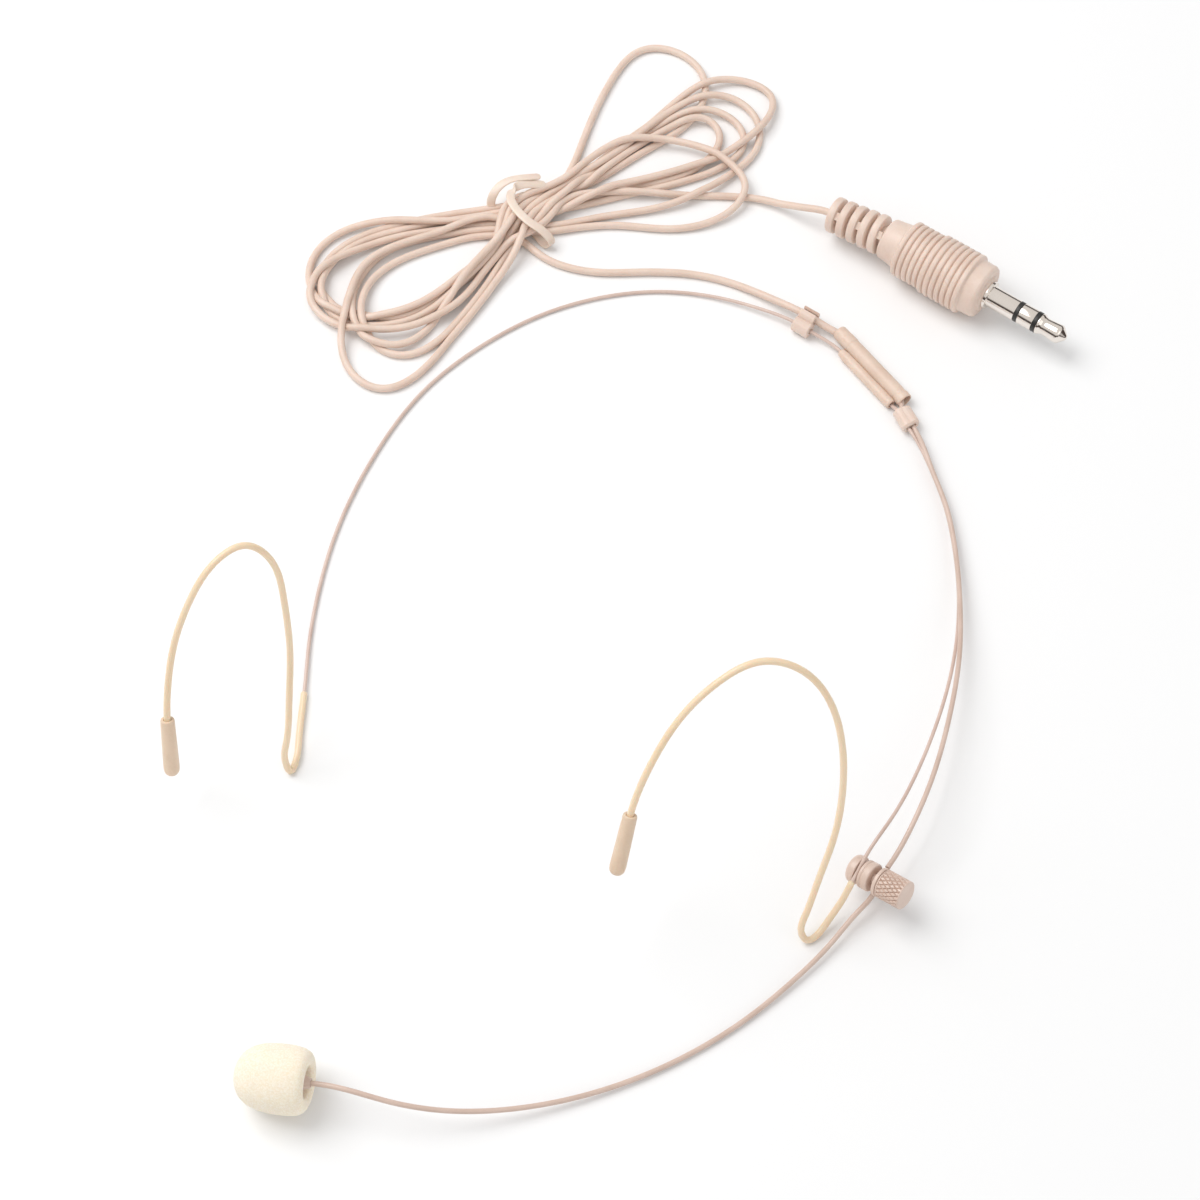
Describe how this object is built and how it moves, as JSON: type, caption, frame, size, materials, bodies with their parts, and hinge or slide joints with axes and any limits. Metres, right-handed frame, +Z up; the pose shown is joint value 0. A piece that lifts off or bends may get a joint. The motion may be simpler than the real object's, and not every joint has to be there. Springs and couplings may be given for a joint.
{
  "type": "headset microphone",
  "caption": "Slim double ear-hook headset microphone: spring-wire headband, clamped boom with foam windscreen, tied cord and 3.5 mm plug.",
  "frame": {"origin": "on the table, below the middle of the headset without its free cord", "axes": "+Z up from the table, -Y towards the front of the wearer's face, +Y towards the back of the head, +X towards the wearer's clamp side"},
  "size_m": [0.1361, 0.1939, 0.0423],
  "materials": {
    "wire": "satin skin-tone coating on spring wire",
    "boom": "satin skin-tone coating on a thin tube",
    "sleeve": "soft cream silicone, slightly translucent",
    "tip": "matte moulded cap",
    "plastic": "satin skin-tone moulding",
    "cord": "satin skin-tone PVC jacket",
    "clamp": "satin skin-tone paint on turned metal",
    "foam": "open-cell foam with fine pores",
    "metal": "plain turned can",
    "nickel": "bright nickel plate",
    "brass": "thin metal disc",
    "board": "circuit board",
    "black": "moulded insulator"
  },
  "bodies": {
    "root": {"headband_wire": "wire", "left_hook_sleeve": "sleeve", "right_hook_sleeve": "sleeve", "left_tip_cap": "tip", "right_tip_cap": "tip", "clamp_screw": "clamp", "clamp_spacer": "clamp", "boom_rear_tube": "boom", "junction_barrel": "plastic", "wire_guide_tube": "plastic", "splice_tube": "black", "cord_lead": "cord", "cord_hank": "cord", "cord_tail": "cord", "cable_tie": "plastic", "plug_tip": "nickel", "plug_insulator_front": "black", "plug_ring": "nickel", "plug_insulator_rear": "black", "plug_sleeve": "nickel", "plug_body": "plastic", "strain_relief": "plastic"},
    "boom": {"boom_front_tube": "boom", "capsule_boot": "boom", "capsule_can": "metal", "capsule_diaphragm": "brass", "capsule_board": "board"},
    "windscreen": {"foam_windscreen": "foam"},
    "washer": {"clamp_washer": "clamp"},
    "knob": {"clamp_knob": "clamp"},
    "cable_clip": {"cable_clip": "plastic"},
    "boom_clip": {"boom_clip": "plastic"}
  },
  "joints": [
    {"name": "boom_swivel", "type": "hinge", "parent": "root", "child": "boom", "pos_m": [0.04255, -0.0355, 0.00532], "axis": [-0.76, 0.6, -0.25], "range_deg": [-10, 35]},
    {"name": "foam_pull", "type": "slide", "parent": "boom", "child": "windscreen", "axis": [-0.9799, 0.1717, -0.101], "range_m": [0, 0.01]},
    {"name": "clamp_release", "type": "slide", "parent": "root", "child": "washer", "axis": [0.76, -0.6, 0.25], "range_m": [0, 0.00075]},
    {"name": "knob_turn", "type": "hinge", "parent": "washer", "child": "knob", "pos_m": [0.04255, -0.0355, 0.00532], "axis": [0.76, -0.6, 0.25], "range_deg": [0, 541]},
    {"name": "cable_clip_slide", "type": "slide", "parent": "root", "child": "cable_clip", "axis": [0.82, -0.572, -0.02], "range_m": [-0.0015, 0]},
    {"name": "boom_clip_slide", "type": "slide", "parent": "root", "child": "boom_clip", "axis": [0.4202, -0.9074, 0], "range_m": [0, 0.0015]}
  ],
  "couplings": [
    {"joint": "knob_turn", "follows": "clamp_release", "rad_per_m": 12566}
  ]
}
